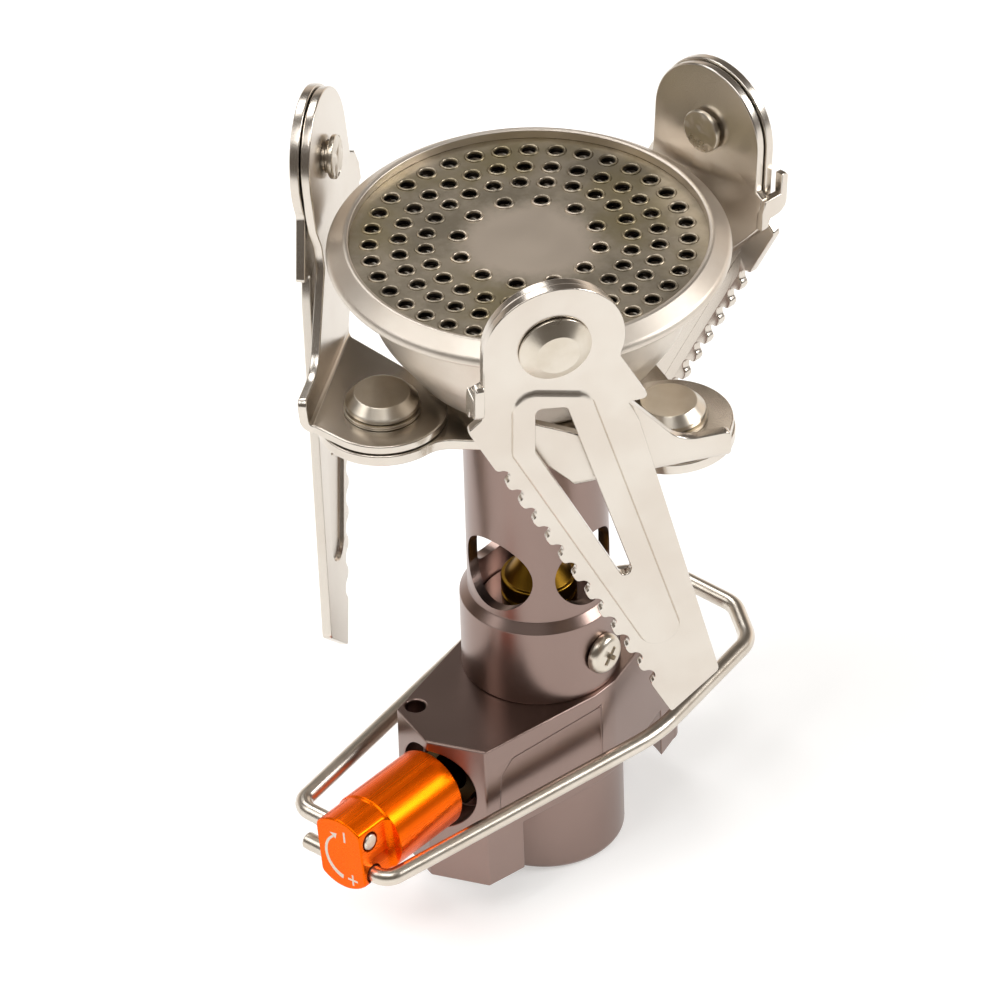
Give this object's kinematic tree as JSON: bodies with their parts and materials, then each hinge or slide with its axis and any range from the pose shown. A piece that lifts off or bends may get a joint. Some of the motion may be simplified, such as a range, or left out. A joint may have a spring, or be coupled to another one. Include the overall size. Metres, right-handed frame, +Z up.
{
  "type": "canister stove",
  "caption": "Folding gas stove that screws onto a fuel canister: valve block with control knob and wire bail, mixing tube, perforated burner cup and toothed pot arms on swivelling uprights.",
  "frame": {"origin": "centre of the canister socket's mouth, on the boss's lower face", "axes": "+Z up along the mixing tube, -Y along the control knob, +X to the right seen from the knob's end"},
  "size_m": [0.0654, 0.0734, 0.1053],
  "materials": {
    "gunmetal": "dark brown-grey anodised, fine turned and milled lines",
    "orange": "bright orange anodised, satin",
    "brass": "turned, slightly dull",
    "rubber": "matt black",
    "wire": "drawn, satin",
    "cup_steel": "spun, satin with a bright rolled rim",
    "grid_steel": "satin, slightly stained by heat",
    "sheet_steel": "bright pressed sheet",
    "rivet_steel": "turned and polished"
  },
  "bodies": {
    "stove": {"valve_body": "gunmetal", "canister_seal": "rubber", "canister_pin": "brass", "spindle_seal": "rubber", "gland_nut": "brass", "gas_jet": "brass", "mixing_tube": "gunmetal", "tube_screw": "rivet_steel", "support_plate": "sheet_steel", "burner_cup": "cup_steel", "burner_plate": "grid_steel", "swivel_rivet_1": "rivet_steel", "swivel_rivet_2": "rivet_steel", "swivel_rivet_3": "rivet_steel", "swivel_washer_1": "rivet_steel", "swivel_washer_2": "rivet_steel", "swivel_washer_3": "rivet_steel"},
    "knob": {"control_knob": "orange", "valve_spindle": "brass"},
    "bail": {"wire_bail": "wire", "bail_ends": "wire"},
    "upright_1": {"upright_1": "sheet_steel", "arm_rivet_1": "rivet_steel"},
    "upright_2": {"upright_2": "sheet_steel", "arm_rivet_2": "rivet_steel"},
    "upright_3": {"upright_3": "sheet_steel", "arm_rivet_3": "rivet_steel"},
    "arm_1": {"pot_arm_1": "sheet_steel"},
    "arm_2": {"pot_arm_2": "sheet_steel"},
    "arm_3": {"pot_arm_3": "sheet_steel"}
  },
  "joints": [
    {"name": "swivel_1", "type": "hinge", "parent": "stove", "child": "upright_1", "pos_m": [0.02041, 0.00189, 0.071], "axis": [0, 0, 1], "range_deg": [0, 128]},
    {"name": "swivel_2", "type": "hinge", "parent": "stove", "child": "upright_2", "pos_m": [-0.01185, 0.01673, 0.071], "axis": [0, 0, 1], "range_deg": [0, 128]},
    {"name": "swivel_3", "type": "hinge", "parent": "stove", "child": "upright_3", "pos_m": [-0.00857, -0.01862, 0.071], "axis": [0, 0, 1], "range_deg": [0, 128]},
    {"name": "arm_fold_1", "type": "hinge", "parent": "upright_1", "child": "arm_1", "pos_m": [0.01929, -0.01908, 0.0965], "axis": [0.8326, -0.5469, -0.0872], "range_deg": [0, 243]},
    {"name": "arm_fold_2", "type": "hinge", "parent": "upright_2", "child": "arm_2", "pos_m": [0.00687, 0.02625, 0.0965], "axis": [0.0573, 0.9945, -0.0872], "range_deg": [0, 243]},
    {"name": "arm_fold_3", "type": "hinge", "parent": "upright_3", "child": "arm_3", "pos_m": [-0.02617, -0.00717, 0.0965], "axis": [-0.89, -0.4476, -0.0872], "range_deg": [0, 243]},
    {"name": "knob_turn", "type": "hinge", "parent": "stove", "child": "knob", "pos_m": [0, 0, 0.0192], "axis": [0, -1, 0], "range_deg": [0, 30]},
    {"name": "bail_swing", "type": "hinge", "parent": "knob", "child": "bail", "pos_m": [0, -0.0374, 0.0192], "axis": [-1, 0, 0], "range_deg": [0, 180], "deforming": ["bail_ends"]}
  ]
}
